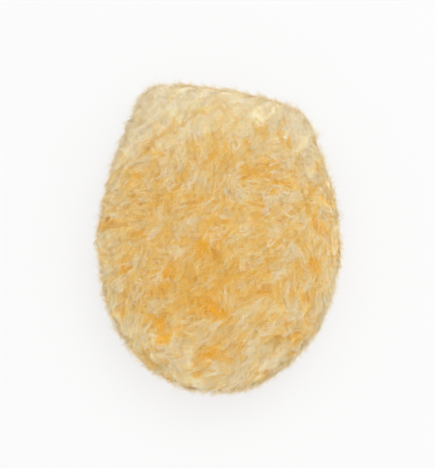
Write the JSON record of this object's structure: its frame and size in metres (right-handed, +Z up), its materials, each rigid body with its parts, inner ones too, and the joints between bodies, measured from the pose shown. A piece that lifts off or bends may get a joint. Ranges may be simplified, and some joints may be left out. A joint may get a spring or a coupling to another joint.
{
  "type": "wash mitt",
  "caption": "Fluffy wool-pile wash mitt, pile on both sides, with a lined hand pocket and a tuck-in rib-knit wrist cuff; lies flat on its back panel.",
  "frame": {"origin": "under the middle of the whole mitt, on the surface that it lies on", "axes": "+X to the side, +Y from the fingertips towards the wrist opening, +Z up through the palm panel"},
  "size_m": [0.1901, 0.24, 0.0698],
  "materials": {
    "wool_pile": "matte",
    "backing_knit": "matte",
    "lining_cloth": "matte",
    "binding_tape": "matte",
    "rib_knit": "matte",
    "thread": "satin",
    "elastic": "matte"
  },
  "bodies": {
    "mitt": {"palm_pile": "wool_pile", "back_pile": "wool_pile", "palm_backing": "backing_knit", "back_backing": "backing_knit", "side_seam_thread": "thread", "palm_lining": "lining_cloth", "back_lining": "lining_cloth", "lining_seam_thread": "thread", "mouth_binding": "binding_tape", "mouth_elastic": "elastic", "binding_stitches": "thread"},
    "cuff": {"cuff_knit": "rib_knit", "cuff_elastic_band": "elastic"}
  },
  "joints": [
    {"name": "cuff_turn_out", "type": "slide", "parent": "mitt", "child": "cuff", "axis": [0, 1, 0], "range_m": [0, 0.045]}
  ]
}
